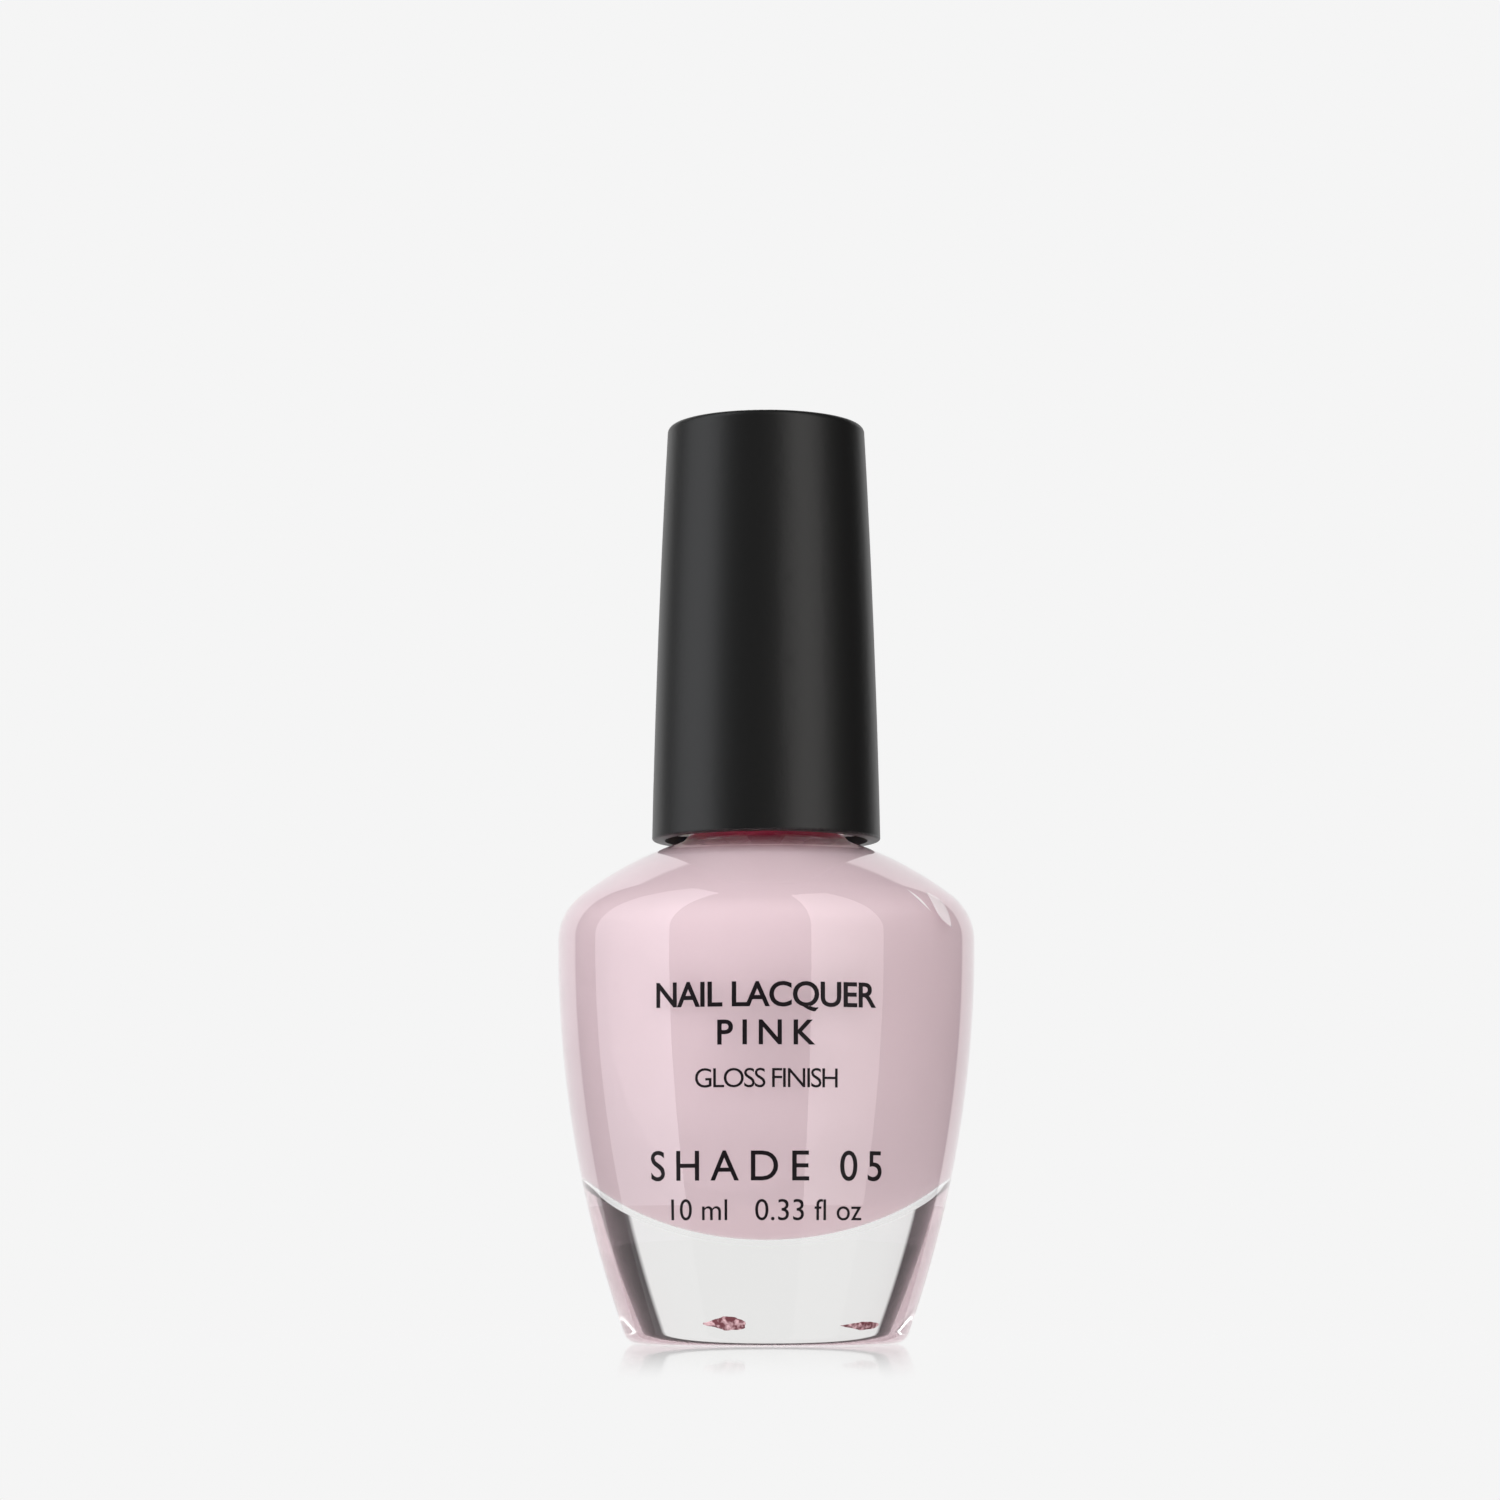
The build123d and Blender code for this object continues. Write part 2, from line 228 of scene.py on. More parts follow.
def acrylic(tree, shader):
    tree.nodes.remove(shader)
    place = add(tree, "ShaderNodeTexCoord")
    distance = add(tree, "ShaderNodeVectorMath", {"operation": "LENGTH"}, _0=place.outputs["Object"])
    sheen = add(tree, "ShaderNodeMapRange", {
        "interpolation_type": "SMOOTHSTEP", "From Min": SHEEN_NEAR, "From Max": SHEEN_FAR,
        "To Min": TABLE_SHEEN, "To Max": 0.0}, Value=distance.outputs["Value"])
    # The light that the table sends up to the object is stronger than what shows of it.
    path = add(tree, "ShaderNodeLightPath")
    strength = add(tree, "ShaderNodeMapRange", {"To Min": 1.0, "To Max": 1.25},
                   Value=path.outputs["Diffuse Depth"])
    glow = add(tree, "ShaderNodeEmission", {"Color": BACKDROP}, Strength=strength.outputs["Result"])
    gloss = add(tree, "ShaderNodeBsdfGlossy", {
        "distribution": "MULTI_GGX", "Color": (1, 1, 1, 1), "Roughness": 0.04})
    # Acrylic mirrors strongly at the camera's low angle and hardly at all from above.
    fresnel = add(tree, "ShaderNodeFresnel", {"IOR": 1.45})
    share = add(tree, "ShaderNodeMath", {"operation": "MULTIPLY"},
                _0=sheen.outputs["Result"], _1=fresnel.outputs["Fac"])
    mix = add(tree, "ShaderNodeMixShader", _0=share.outputs["Value"],
              _1=glow.outputs["Emission"], _2=gloss.outputs["BSDF"])
    # From below it isn't there, so that the underside of the bottle can be seen.
    facing = add(tree, "ShaderNodeNewGeometry")
    one_sided = add(tree, "ShaderNodeMixShader", _0=facing.outputs["Backfacing"], _1=mix.outputs["Shader"],
                    _2=add(tree, "ShaderNodeBsdfTransparent").outputs["BSDF"])
    output = tree.nodes["Material Output"]
    tree.links.new(one_sided.outputs["Shader"], output.inputs["Surface"])


TABLE_HALF_WIDTH = 5.0
half = TABLE_HALF_WIDTH
table_mesh = bpy.data.meshes.new("table")
table_mesh.from_pydata([(-half, -half, 0), (half, -half, 0), (half, half, 0), (-half, half, 0)],
                       [], [(0, 1, 2, 3)])
table = bpy.data.objects.new("table", table_mesh)
table_mesh.materials.append(material("lit white acrylic", {}, acrylic))
bpy.context.scene.collection.objects.link(table)
# Mirrored in the bottle's sloping wall, the table would cut the softboxes short. It lets
# the lamps' light through from below, as a lit table does.
table.visible_glossy = False
table.visible_shadow = False
print("Table", 2 * TABLE_HALF_WIDTH, "m wide")

# %% [markdown]
# ## Outlines
#
# Bottle and lacquer are turned shapes. Each is a half outline of arcs
# in the plane of radius and height, spun round the axis. The same few radii
# that a mould drawing would give are repeated here, and the frame gives the
# overall sizes: the body's radius and the height of the neck.

# %% Sizes of the glass
glass_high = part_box("glass_bottle")[1]
fill_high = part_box("polish_fill")[1]
cap_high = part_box("overcap")[1]
body_radius = glass_high[0] / MM
inside_radius = fill_high[0] / MM
glass_wall = body_radius - inside_radius
neck_top = glass_high[2] / MM
lacquer_top = fill_high[2] / MM
cap_rim_radius = cap_high[0] / MM

SHOULDER_START = 29.65
WALL_BOW_RADIUS = 86.0
HEEL_RADIUS = 1.1
FOOT_INSET = 2.9
PUSH_UP_DEPTH = 0.6
PUSH_UP_EDGE_RADIUS = 0.5
CORNER_RADIUS = 4.2
CORNER_TURN = 52.0
DOME_END = 66.5
FLOOR_THICKNESS = 8.35
BOWL_STEP = 2.5
FLANK_RISE = 7.0
NECK_RADIUS = 5.7
BORE_RADIUS = 3.5
NECK_ROOT_FILLET = 1.2
BORE_ENTRY_FILLET = 2.0
LIP_RADIUS = 0.4
print(f"Glass {2 * body_radius:.1f} mm wide, wall {glass_wall:.2f} mm, neck top {neck_top:.2f} mm")

# %% Outline helpers


def on_circle(center, radius, degrees):
    turn = math.radians(degrees)
    return Vector((center[0] + radius * math.cos(turn), center[1] + radius * math.sin(turn)))


def arc(center, radius, start, end, step=0.25):
    """Points along an arc from one angle to another, about step millimetres apart."""
    count = max(4, math.ceil(abs(math.radians(end - start)) * radius / step))
    return [on_circle(center, radius, start + (end - start) * i / count) for i in range(count + 1)]


def straight(start, end, step=0.5):
    start, end = Vector(start), Vector(end)
    count = max(1, math.ceil((end - start).length / step))
    return [start.lerp(end, i / count) for i in range(count + 1)]


def rounded(points, corner, radius, steps=10):
    """The outline with the point nearest to corner replaced by an arc of that radius.

    Points that lie within the arc's tangent length are dropped."""
    at = min(range(len(points)), key=lambda i: (points[i] - Vector(corner)).length)
    here = points[at]
    before = (points[at - 1] - here).normalized()
    after = (points[(at + 1) % len(points)] - here).normalized()
    half_angle = before.angle(after) / 2
    tangent = radius / math.tan(half_angle)
    start, end = here + before * tangent, here + after * tangent
    center = here + (before + after).normalized() * (radius / math.sin(half_angle))
    a, b = start - center, end - center
    # slerp gives unit vectors.
    curve = [center + a.slerp(b, i / steps) * radius for i in range(steps + 1)]
    low = at
    while low > 0 and (points[low - 1] - here).length < tangent:
        low -= 1
    high = at
    while high < len(points) - 1 and (points[high + 1] - here).length < tangent:
        high += 1
    return points[:low] + curve + points[high + 1:]


def joined(*runs):
    """Runs of points as one, without the repeated ends."""
    points = []
    for run in runs:
        for point in run:
            if not points or (point - points[-1]).length > 1e-4:
                points.append(Vector(point))
    return points


def place_object(name, data):
    """A new object at the origin, linked to the scene."""
    made = bpy.data.objects.new(name, data)
    bpy.context.scene.collection.objects.link(made)
    return made


def closed_mesh(name, vertices, faces):
    """A smooth mesh whose faces all point outwards."""
    mesh = bpy.data.meshes.new(name)
    mesh.from_pydata(vertices, [], faces)
    shell = bmesh.new()
    shell.from_mesh(mesh)
    bmesh.ops.recalc_face_normals(shell, faces=shell.faces)
    shell.to_mesh(mesh)
    shell.free()
    mesh.shade_smooth()
    return mesh


def spin(name, outline, segments=192, shape=None, closed=False):
    """A turned shape from an outline in mm, from the axis at its foot to the axis at its top.

    The outline runs with the material on its left as it goes up the outside. shape may move
    a point by its angle: it gets (angle, radius, height) and returns a radius."""
    vertices, faces, rings = [], [], []
    for point in outline:
        if point[0] < 1e-6:
            rings.append([len(vertices)])
            vertices.append((0, 0, point[1] * MM))
            continue
        ring = []
        for k in range(segments):
            angle = 2 * math.pi * k / segments
            radius = shape(angle, point[0], point[1]) if shape else point[0]
            ring.append(len(vertices))
            vertices.append((radius * math.cos(angle) * MM, radius * math.sin(angle) * MM, point[1] * MM))
        rings.append(ring)
    pairs = list(zip(rings, rings[1:])) + ([(rings[-1], rings[0])] if closed else [])
    for lower, upper in pairs:
        for k in range(segments):
            n = (k + 1) % segments
            if len(lower) == 1 and len(upper) == 1:
                break
            if len(lower) == 1:
                faces.append((lower[0], upper[n], upper[k]))
            elif len(upper) == 1:
                faces.append((lower[k], lower[n], upper[0]))
            else:
                faces.append((lower[k], lower[n], upper[n], upper[k]))
    made = place_object(name, closed_mesh(name, vertices, faces))
    print(f"{name}: {len(faces)} faces")
    return made


corner_center = (body_radius - CORNER_RADIUS, SHOULDER_START)
corner_end = on_circle(corner_center, CORNER_RADIUS, CORNER_TURN)
dome_radius = (corner_end[0] - cap_rim_radius) / (
    math.cos(math.radians(CORNER_TURN)) - math.cos(math.radians(DOME_END)))
dome_center = on_circle(corner_end, -dome_radius, CORNER_TURN)


def shoulder(inset, neck_radius):
    """Corner and dome from the side wall in to the neck, moved in by inset."""
    radius = dome_radius - inset
    end = math.degrees(math.acos((neck_radius - dome_center[0]) / radius))
    return joined(arc(corner_center, CORNER_RADIUS - inset, 0, CORNER_TURN),
                  arc(dome_center, radius, CORNER_TURN, end, 0.4))


def wall_radius(height):
    """Outer radius of the glass below the shoulder, at a height in mm."""
    drop = SHOULDER_START - height
    return body_radius - WALL_BOW_RADIUS + math.sqrt(WALL_BOW_RADIUS ** 2 - drop ** 2)


def outside_outline():
    foot = Vector((wall_radius(0), 0))
    edge = foot[0] - FOOT_INSET
    push_up_radius = (edge ** 2 + PUSH_UP_DEPTH ** 2) / (2 * PUSH_UP_DEPTH)
    push_up = (0, PUSH_UP_DEPTH - push_up_radius)
    edge_turn = math.degrees(math.acos(edge / push_up_radius))
    foot_turn = -math.degrees(math.asin(SHOULDER_START / WALL_BOW_RADIUS))
    wall = arc((body_radius - WALL_BOW_RADIUS, SHOULDER_START), WALL_BOW_RADIUS, foot_turn, 0, 0.5)
    top = shoulder(0, NECK_RADIUS)
    points = joined(arc(push_up, push_up_radius, 90, edge_turn, 0.6), straight((edge, 0), foot, 0.4),
                    wall, top, straight(top[-1], (NECK_RADIUS, neck_top), 0.12))
    points = rounded(points, (edge, 0), PUSH_UP_EDGE_RADIUS, 6)
    points = rounded(points, foot, HEEL_RADIUS, 12)
    return rounded(points, top[-1], NECK_ROOT_FILLET, 12)


def cavity_outline(inset=0.0, top=None):
    """The inside of the glass from the bowl's middle up to top; a negative inset enlarges it."""
    bowl_radius = inside_radius - BOWL_STEP
    bowl = (0, FLOOR_THICKNESS + bowl_radius)
    turn = 2 * math.degrees(math.atan(FLANK_RISE / BOWL_STEP)) - 180
    bowl_end = on_circle(bowl, bowl_radius, turn)
    flank_radius = (inside_radius - bowl_end[0]) / (1 - math.cos(math.radians(turn)))
    flank_top = bowl[1] + FLANK_RISE
    flank = (inside_radius - flank_radius, flank_top)
    roof = shoulder(glass_wall + inset, BORE_RADIUS - inset)
    side = inside_radius - inset
    points = joined(arc(bowl, bowl_radius - inset, -90, turn), arc(flank, flank_radius - inset, turn, 0),
                    straight((side, flank_top), (side, SHOULDER_START)), roof,
                    straight(roof[-1], (BORE_RADIUS - inset, neck_top), 0.3))
    points = rounded(points, roof[-1], BORE_ENTRY_FILLET, 10)
    if top is None:
        return points
    return [p for p in points if p[1] < top]


print("Dome radius of the shoulder:", round(dome_radius, 2), "mm")

# %% [markdown]
# ## Glass
#
# The bottle is one closed skin: up the outside, over the lip and down the
# inside. The screw thread is raised on the neck by moving the neck's points
# outwards where the helix passes, and it fades out at both ends as a moulded
# thread does, so the glass stays one piece with no hidden faces inside it.

# %% Bottle mesh
THREAD_DEPTH = 0.8
THREAD_PITCH = 2.117
THREAD_TURNS = 1.5
THREAD_CREST = 0.6
THREAD_FLANK = 0.36
THREAD_BELOW_TOP = 5.9
THREAD_FADE = 0.09


def raised_thread(angle, radius, height):
    """Radius of the neck where the thread passes, else the radius unchanged."""
    if radius < NECK_RADIUS - 0.01 or height < neck_top - THREAD_BELOW_TOP - 2:
        return radius
    rise = 0.0
    for turn in range(math.ceil(THREAD_TURNS)):
        along = angle / (2 * math.pi) + turn
        if along > THREAD_TURNS:
            continue
        middle = neck_top - THREAD_BELOW_TOP + THREAD_PITCH * along
        reach = (THREAD_CREST / 2 + THREAD_DEPTH * THREAD_FLANK - abs(height - middle)) / THREAD_FLANK
        fade = min(along, THREAD_TURNS - along) / THREAD_FADE
        fade = min(max(fade, 0), 1)
        rise = max(rise, min(reach, THREAD_DEPTH) * fade * fade * (3 - 2 * fade))
    return max(radius, NECK_RADIUS + rise) if rise > 0 else radius


lip_outside = Vector((NECK_RADIUS, neck_top))
lip_inside = Vector((BORE_RADIUS, neck_top))
outline = joined(outside_outline(), straight(lip_outside, lip_inside), reversed(cavity_outline()))
outline = rounded(outline, lip_outside, LIP_RADIUS, 6)
outline = rounded(outline, lip_inside, LIP_RADIUS, 6)
GLASS_SEGMENTS = 224
glass = spin("bottle_glass", outline, GLASS_SEGMENTS, raised_thread)
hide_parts("glass_bottle")
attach(glass, "bottle")

# %% [markdown]
# Bottle glass is clear soda-lime glass, fire-polished by the mould, so it has no
# roughness. It throws no shadow here: a path tracer would need very many rays
# to find the lamps through it, and the lacquer behind it would come out dark.
#
# Where lacquer wets the glass, light passes from an index of 1.52 to one of
# 1.47. That hardly bends it, and shows only near grazing: there it's mirrored
# whole, as the thin white line along the lower edge of the lacquer.

# %% Glass materials
GLASS_INDEX = 1.52
LACQUER_INDEX = 1.47
FOOT_HEIGHT = 9.9       # below it the clear foot mirrors the softboxes only faintly


def clear_glass(name, index, changes=None):
    return material(name, {
        "Base Color": linear("F6F7F7"),
        "Roughness": 0.0,
        "IOR": index,
        "Transmission Weight": 1.0,
        **(changes or {}),
    })


# The coat stands for the second reflection that a thick wall gives.
glass_finishes = [
    clear_glass("flint glass, fire polished", GLASS_INDEX, {
        "Coat Weight": 0.35, "Coat Roughness": 0.0, "Coat IOR": GLASS_INDEX}),
    clear_glass("flint glass, wetted by lacquer", GLASS_INDEX / LACQUER_INDEX),
    clear_glass("flint glass, clear foot", GLASS_INDEX, {
        "Base Color": linear("F1F1F0"), "Specular Tint": linear("7A7A7A")}),
]
for finish in glass_finishes:
    glass.data.materials.append(finish)
crest = max(range(len(outline)), key=lambda i: outline[i][1])
counts = [0, 0, 0]
for i in range(len(outline) - 1):
    middle = (outline[i] + outline[i + 1]) / 2
    kind = 0
    if i > crest and middle[1] < lacquer_top:
        kind = 1
    elif i < crest and middle[1] < FOOT_HEIGHT:
        kind = 2
    for polygon in glass.data.polygons[i * GLASS_SEGMENTS:(i + 1) * GLASS_SEGMENTS]:
        polygon.material_index = kind
        counts[kind] += 1
glass.visible_shadow = False
print("Faces of plain, wetted and foot glass:", counts)

# %% [markdown]
# ## Lacquer
#
# Cream lacquer is an opaque liquid. Its skin lies a fiftieth of a millimetre
# inside the glass, so every ray that crosses the wetted wall ends on it. The
# shine comes from the glass in front of it.

# %% Lacquer
LACQUER_GAP = 0.02
LACQUER_PINK = "D1BAC0"
sides = cavity_outline(LACQUER_GAP, lacquer_top)
lacquer_outline = joined(sides, [Vector((sides[-1][0], lacquer_top)), Vector((0, lacquer_top))])
lacquer = spin("lacquer_body", lacquer_outline, 160)
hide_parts("polish_fill")
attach(lacquer, "bottle")
# Between these heights the lacquer turns dark red: painted shade under the cap.
PAINTED_SHADE_BOTTOM = 34.2 * MM
PAINTED_SHADE_TOP = 36.0 * MM


def painted_shade_under_cap(tree, shader):
    """Painted shade: towards the top, where the cap shades the neck, the lacquer's colour darkens to red."""
    place = add(tree, "ShaderNodeTexCoord")
    height = add(tree, "ShaderNodeSeparateXYZ", Vector=place.outputs["Object"])
    share = add(tree, "ShaderNodeMapRange", {
        "interpolation_type": "SMOOTHSTEP", "From Min": PAINTED_SHADE_BOTTOM, "From Max": PAINTED_SHADE_TOP},
        Value=height.outputs["Z"])
    # The dark red is the painted shade.
    tone = add(tree, "ShaderNodeMixRGB", {"Color1": linear(LACQUER_PINK), "Color2": linear("A8384F")},
               Fac=share.outputs["Result"])
    tree.links.new(tone.outputs["Color"], shader.inputs["Base Color"])


cream_lacquer = material("cream nail lacquer, pastel pink", {
    "Roughness": 0.35,
    "Specular IOR Level": 0.0,
}, painted_shade_under_cap)
lacquer.data.materials.append(cream_lacquer)

# %% [markdown]
# ## Print
#
# The lettering is screen-printed straight on the glass in black ink. Each line
# starts as flat text with a little thickness. It's tracked out to its measured
# width, cut into strips so that it can bend, and wrapped round the wall at the
# radius the wall has at that height. The words are plain product terms.

# %% Print
INK_THICKNESS = 0.03
INK_CLEARANCE = 0.004     # off the glass, so that the two surfaces never coincide
STRIP_WIDTH = 0.4
# words: (height of the baseline, height of a capital, width along the wall, extra weight)
LINES = {
    "NAIL LACQUER": (23.96, 1.77, 16.4, 0.016),
    "PINK": (21.28, 1.76, 7.0, 0.016),
    "GLOSS FINISH": (18.24, 1.34, 10.3, 0.0),
    "SHADE 05": (11.71, 2.10, 17.6, 0.004),
    "10 ml   0.33 fl oz": (8.91, 1.47, 14.2, 0.0),
}


def text_mesh(words, tracking, weight, thickness):
    """Flat text, one unit high, as a mesh."""
    curve = bpy.data.curves.new("line", "FONT")
    curve.body = words
    curve.align_x = "CENTER"
    curve.space_character = tracking
    curve.offset = weight
    curve.extrude = thickness
    curve.resolution_u = 5
    holder = place_object("line", curve)
    bpy.context.view_layer.update()
    mesh = bpy.data.meshes.new_from_object(holder.evaluated_get(bpy.context.evaluated_depsgraph_get()))
    bpy.data.objects.remove(holder)
    return mesh


def extent(mesh, axis):
    values = [v.co[axis] for v in mesh.vertices]
    return min(values), max(values)


def printed_line(words, baseline, capital, width, weight):
    """One line of print, wrapped round the glass and centred on the front."""
    letter = text_mesh("H", 1, weight, 0)
    scale = capital / (extent(letter, 1)[1] - extent(letter, 1)[0])
    spans = []
    for tracking in (1.0, 1.5):
        low, high = extent(text_mesh(words, tracking, weight, 0), 0)
        spans.append((high - low) * scale)
    tracking = 1.0 + 0.5 * (width - spans[0]) / (spans[1] - spans[0])
    mesh = text_mesh(words, tracking, weight, INK_THICKNESS / 2 / scale)
    low, high = extent(mesh, 0)
    middle = (low + high) / 2
    body = bmesh.new()
    body.from_mesh(mesh)
    bmesh.ops.remove_doubles(body, verts=body.verts, dist=1e-4)
    strips = math.ceil(width / STRIP_WIDTH)
    for i in range(1, strips):
        x = low + (high - low) * i / strips
        everything = body.verts[:] + body.edges[:] + body.faces[:]
        bmesh.ops.bisect_plane(body, geom=everything, plane_co=(x, 0, 0), plane_no=(1, 0, 0))
    bmesh.ops.triangulate(body, faces=[f for f in body.faces if len(f.verts) > 4])
    for vertex in body.verts:
        x, y, z = vertex.co
        height = baseline + y * scale
        wall = wall_radius(height)
        angle = (x - middle) * scale / wall
        radius = wall + INK_THICKNESS / 2 + INK_CLEARANCE + z * scale
        vertex.co = (radius * math.sin(angle) * MM, -radius * math.cos(angle) * MM, height * MM)
    bmesh.ops.recalc_face_normals(body, faces=body.faces)
    body.to_mesh(mesh)
    body.free()
    print(f"{words!r}: tracking {tracking:.2f}, {len(mesh.polygons)} faces")
    return mesh


def ink(tree, shader):
    """Screen ink: dense black with a faint uneven film."""
    place = add(tree, "ShaderNodeTexCoord")
    film = add(tree, "ShaderNodeTexNoise", {"Scale": 1 / (0.5 * MM), "Detail": 2.0},
               Vector=place.outputs["Object"])
    level = add(tree, "ShaderNodeMapRange", {"To Min": 0.38, "To Max": 0.55},
                Value=film.outputs["Fac"])
    tree.links.new(level.outputs["Result"], shader.inputs["Roughness"])


screen_ink = material("black screen ink", {"Base Color": linear("0F0A0D"), "Specular IOR Level": 0.15}, ink)
for number, (words, sizes) in enumerate(LINES.items(), 1):
    line = place_object(f"print_line_{number}", printed_line(words, *sizes))
    line.data.materials.clear()
    line.data.materials.append(screen_ink)
    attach(line, "bottle")

# %% [markdown]
# ## Small marks
#
# Two dark rose blots lie on the outside of the foot. At the shoulder, two
# white streaks shaped like seeds, the thin drawn-out bubbles of blown glass, lie
# in the wall: their near-opaque white is a painted highlight.

# %% Blots on the foot
SMEAR_THICKNESS = 0.05
SMEAR_CLEARANCE = 0.003
# name: (across from the middle of the front, height, half width, half height) in mm
SMEARS = {
    "smear_left": (-3.05, 1.60, 1.60, 0.50),
    "smear_right": (6.75, 1.42, 1.75, 0.30),
}


def smear_mesh(across, height, half_width, half_height, rings=8, segments=48):
    """A thin blot with a ragged edge, wrapped on the foot's wall."""
    turn = math.asin(across / wall_radius(height))
    vertices, faces = [], []
    for side in (1, 0):
        for k in range(rings + 1):
            for j in range(segments):
                a = 2 * math.pi * j / segments
                ragged = (1 + 0.05 * math.sin(3 * a + across) + 0.03 * math.sin(7 * a)
                          + 0.02 * math.sin(13 * a + 1))
                share = max(k / rings, 0.001)
                u = share * ragged * half_width * math.cos(a)
                # Towards the left it tapers to a tail.
                tail = 1 - 0.75 * max(0, -math.cos(a)) ** 0.7
                blunt = math.copysign(abs(math.sin(a)) ** 0.7, math.sin(a))
                v = share * ragged * half_height * blunt * tail
                wall = wall_radius(height + v)
                radius = wall + SMEAR_CLEARANCE + SMEAR_THICKNESS * side * (1 - share ** 4)
                angle = turn + u / wall
                vertices.append((radius * math.sin(angle) * MM, -radius * math.cos(angle) * MM,
                                 (height + v) * MM))
    sheet = (rings + 1) * segments
    for side in (0, 1):
        for k in range(rings):
            for j in range(segments):
                n = (j + 1) % segments
                a, b = side * sheet + k * segments, side * sheet + (k + 1) * segments
                faces.append((a + j, a + n, b + n, b + j) if side == 0 else (a + j, b + j, b + n, a + n))
    for j in range(segments):
        n = (j + 1) % segments
        faces.append((rings * segments + j, rings * segments + n, sheet + rings * segments + n,
                      sheet + rings * segments + j))
    faces.append(tuple(range(segments))[::-1])
    faces.append(tuple(range(sheet, sheet + segments)))
    return closed_mesh("smear", vertices, faces)


def mottled(tree, shader):
    """Dark rose, lighter in patches."""
    place = add(tree, "ShaderNodeTexCoord")
    patches = add(tree, "ShaderNodeTexNoise", {"Scale": 1 / (0.35 * MM), "Detail": 3.0},
                  Vector=place.outputs["Object"])
    share = add(tree, "ShaderNodeMapRange", {"From Min": 0.42, "From Max": 0.68},
                Value=patches.outputs["Fac"])
    tone = add(tree, "ShaderNodeMixRGB", {"Color1": linear("5E3238"), "Color2": linear("C9A5AA")},
               Fac=share.outputs["Result"])
    tree.links.new(tone.outputs["Color"], shader.inputs["Base Color"])


# Dark rose blots, lighter in patches.
blot_finish = material("dark rose blot, mottled", {"Roughness": 0.3}, mottled)
for name, place in SMEARS.items():
    smear = place_object(name, smear_mesh(*place))
    smear.data.materials.append(blot_finish)
    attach(smear, "bottle")
print("Smears:", ", ".join(SMEARS))

# %% Painted highlights shaped as seeds in the glass
# name: (degrees round from the front, degrees up the shoulder's corner, half length, half
# width, half depth in mm, lean in degrees from level)
# White streaks shaped as seeds, where the softbox's light shows: painted highlights.
HIGHLIGHT_SEEDS = {
    "painted_highlight_long": (51, 39, 1.10, 0.10, 0.10, -52),
    "painted_highlight_wide": (60, 29, 1.45, 0.85, 0.12, -60),
}
# Near-white, nearly opaque finishes: the painted highlight itself.
highlight_seed_finishes = {
    "painted_highlight_long": material("painted highlight in the glass, white", {
        "Base Color": linear("F6F4F4"), "Roughness": 0.3, "Alpha": 0.9}),
    "painted_highlight_wide": material("painted highlight in the glass, faint", {
        "Base Color": linear("DCD5D7"), "Roughness": 0.4, "Alpha": 0.5}),
}


def highlight_seed_mesh(around, up, half_length, half_width, half_depth, lean, rings=20, segments=24):
    """A pointed streak shaped as a drawn-out bubble, in the middle of the wall and lying along the glass: a
    painted highlight.
    """
    a, e, l = math.radians(around - 90), math.radians(up), math.radians(lean)
    depth = CORNER_RADIUS - glass_wall / 2
    outwards = Vector((math.cos(a) * math.cos(e), math.sin(a) * math.cos(e), math.sin(e)))
    level = Vector((-math.sin(a), math.cos(a), 0))
    uphill = outwards.cross(level)
    along = level * math.cos(l) + uphill * math.sin(l)
    side = outwards.cross(along)
    middle = Vector((corner_center[0] * math.cos(a), corner_center[0] * math.sin(a), corner_center[1]))
    middle += outwards * depth
    vertices, faces = [tuple((middle - along * half_length) * MM)], []
    for i in range(1, rings):
        t = -1 + 2 * i / rings
        fullness = (1 - t * t) ** 1.3
        bend = outwards * (-0.08 * t * t)
        for k in range(segments):
            b = 2 * math.pi * k / segments
            point = (middle + along * t * half_length + bend + side * math.cos(b) * half_width * fullness
                     + outwards * math.sin(b) * half_depth * fullness)
            vertices.append(tuple(point * MM))
    vertices.append(tuple((middle + along * half_length) * MM))
    last = len(vertices) - 1
    for k in range(segments):
        n = (k + 1) % segments
        faces.append((0, 1 + n, 1 + k))
        faces.append((last, last - segments + k, last - segments + n))
        for i in range(rings - 2):
            low, high = 1 + i * segments, 1 + (i + 1) * segments
            faces.append((low + k, low + n, high + n, high + k))
    return closed_mesh("highlight_seed", vertices, faces)


for name, place in HIGHLIGHT_SEEDS.items():
    highlight_seed = place_object(name, highlight_seed_mesh(*place))
    highlight_seed.data.materials.append(highlight_seed_finishes[name])
    highlight_seed.visible_shadow = False
    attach(highlight_seed, "bottle")
print("Seeds:", ", ".join(HIGHLIGHT_SEEDS))

# %% [markdown]
# ## Overcap
#
# The cap is moulded black polypropylene with a fine matt texture, spark-eroded
# into the mould. Its grain is about 0.1 mm, too fine to see one by one: it
# shows as a broad soft highlight. A noise bump at that size does it.

# %% Overcap material


def fine_grain(scale_mm, strength, depth_mm=0.01):
    """Returns a function that gives a shader a noise bump of that grain size."""
    def build(tree, shader):
        place = add(tree, "ShaderNodeTexCoord")
        noise = add(tree, "ShaderNodeTexNoise", {"Scale": 1 / (scale_mm * MM), "Detail": 2.0},
                    Vector=place.outputs["Object"])
        bump = add(tree, "ShaderNodeBump", {"Strength": strength, "Distance": depth_mm * MM},
                   Height=noise.outputs["Fac"])
        tree.links.new(bump.outputs["Normal"], shader.inputs["Normal"])
    return build


black_polypropylene = material("black polypropylene, matt moulded", {
    "Base Color": linear("090909"),
    "Roughness": 0.4,
    "Specular IOR Level": 0.5,
}, fine_grain(0.28, 0.4))


def finish_node(name, finish):
    """Gives a CAD node one material on all its faces."""
    mesh = nodes[name].data
    mesh.materials.clear()
    mesh.materials.append(finish)
    print(name, "is", finish.name)


finish_node("overcap", black_polypropylene)
